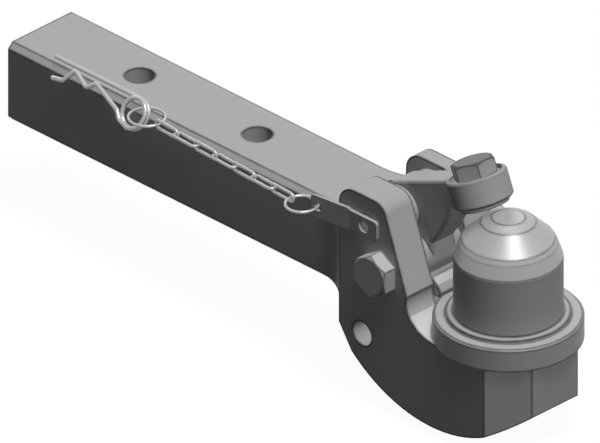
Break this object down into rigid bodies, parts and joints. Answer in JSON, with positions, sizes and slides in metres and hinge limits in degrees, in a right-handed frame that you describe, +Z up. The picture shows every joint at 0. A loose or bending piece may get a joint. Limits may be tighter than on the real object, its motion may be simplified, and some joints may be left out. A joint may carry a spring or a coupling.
{
  "type": "tractor ball hitch",
  "caption": "Ball hitch on a square drawbar, with a hold-down arm over the ball and a lock pin on a chain.",
  "frame": {"origin": "centre of the 80 mm ball", "axes": "+X along the drawbar towards the nose, +Z up along the ball's axis, +Y to the left of +X"},
  "size_m": [0.531, 0.1457, 0.2171],
  "materials": {
    "forged_steel": "satin",
    "machined_steel": "machined",
    "fastener_steel": "zinc plated",
    "pin_steel": "ground",
    "strip_steel": "satin",
    "wire_steel": "bright drawn",
    "bush_bronze": "machined"
  },
  "bodies": {
    "head": {"hitch_body": "forged_steel", "ball": "machined_steel", "ball_collar": "machined_steel", "ball_washer": "fastener_steel", "ball_nut": "fastener_steel", "pivot_bolt": "fastener_steel", "pivot_washer": "fastener_steel", "pivot_nut": "fastener_steel"},
    "arm": {"hold_down_arm": "forged_steel", "pivot_bush": "bush_bronze"},
    "adjuster_seat": {"adjuster_washer": "fastener_steel"},
    "adjuster": {"adjusting_bolt": "fastener_steel"},
    "pin": {"lock_pin": "pin_steel", "lock_pin_handle": "strip_steel"},
    "first_ring": {"handle_ring": "wire_steel"},
    "link_1": {"chain_link_1": "wire_steel"},
    "link_2": {"chain_link_2": "wire_steel"},
    "link_3": {"chain_link_3": "wire_steel"},
    "link_4": {"chain_link_4": "wire_steel"},
    "link_5": {"chain_link_5": "wire_steel"},
    "link_6": {"chain_link_6": "wire_steel"},
    "link_7": {"chain_link_7": "wire_steel"},
    "second_ring": {"clip_ring": "wire_steel"},
    "clip": {"spring_clip": "wire_steel"}
  },
  "joints": [
    {"name": "hold_down_swing", "type": "hinge", "parent": "head", "child": "arm", "pos_m": [-0.082, 0, -0.021], "axis": [0, 1, 0], "range_deg": [-1.2, 1.2]},
    {"name": "adjuster_travel", "type": "slide", "parent": "arm", "child": "adjuster_seat", "axis": [-0.3827, 0, 0.9239], "range_m": [0, 0.01]},
    {"name": "adjuster_turn", "type": "hinge", "parent": "adjuster_seat", "child": "adjuster", "pos_m": [-0.03338, 0, 0.06084], "axis": [-0.3827, 0, 0.9239], "range_deg": [0, 1440]},
    {"name": "lock_pin_draw", "type": "slide", "parent": "head", "child": "pin", "axis": [0, -1, 0], "range_m": [0, 0.108]},
    {"name": "handle_ring_swing", "type": "hinge", "parent": "pin", "child": "first_ring", "pos_m": [-0.14016, -0.0535, 0.0115], "axis": [0, 0, 1], "range_deg": [0, 6]},
    {"name": "link_1_swing", "type": "hinge", "parent": "first_ring", "child": "link_1", "pos_m": [-0.16213, -0.05927, 0.0123], "axis": [0, 0, 1], "range_deg": [0, 12]},
    {"name": "link_2_swing", "type": "hinge", "parent": "link_1", "child": "link_2", "pos_m": [-0.18436, -0.0568, 0.01109], "axis": [0, 0, 1], "range_deg": [0, 15]},
    {"name": "link_3_swing", "type": "hinge", "parent": "link_2", "child": "link_3", "pos_m": [-0.20649, -0.05433, 0.00988], "axis": [0, 0, 1], "range_deg": [0, 12]},
    {"name": "link_4_swing", "type": "hinge", "parent": "link_3", "child": "link_4", "pos_m": [-0.22863, -0.05187, 0.00868], "axis": [0, 0, 1], "range_deg": [0, 15]},
    {"name": "link_5_swing", "type": "hinge", "parent": "link_4", "child": "link_5", "pos_m": [-0.25076, -0.0494, 0.00747], "axis": [0, 0, 1], "range_deg": [0, 12]},
    {"name": "link_6_swing", "type": "hinge", "parent": "link_5", "child": "link_6", "pos_m": [-0.2729, -0.04694, 0.00627], "axis": [0, 0, 1], "range_deg": [0, 15]},
    {"name": "link_7_swing", "type": "hinge", "parent": "link_6", "child": "link_7", "pos_m": [-0.29503, -0.04447, 0.00506], "axis": [0, 0, 1], "range_deg": [0, 12]},
    {"name": "clip_ring_swing", "type": "hinge", "parent": "link_7", "child": "second_ring", "pos_m": [-0.31716, -0.04201, 0.00386], "axis": [0, 0, 1], "range_deg": [0, 20]},
    {"name": "clip_swing", "type": "hinge", "parent": "second_ring", "child": "clip", "pos_m": [-0.3415, -0.0408, 0.004], "axis": [0, 0, 1], "range_deg": [0, 4]}
  ],
  "couplings": [
    {"joint": "adjuster_turn", "follows": "adjuster_travel", "rad_per_m": 2513.3}
  ]
}
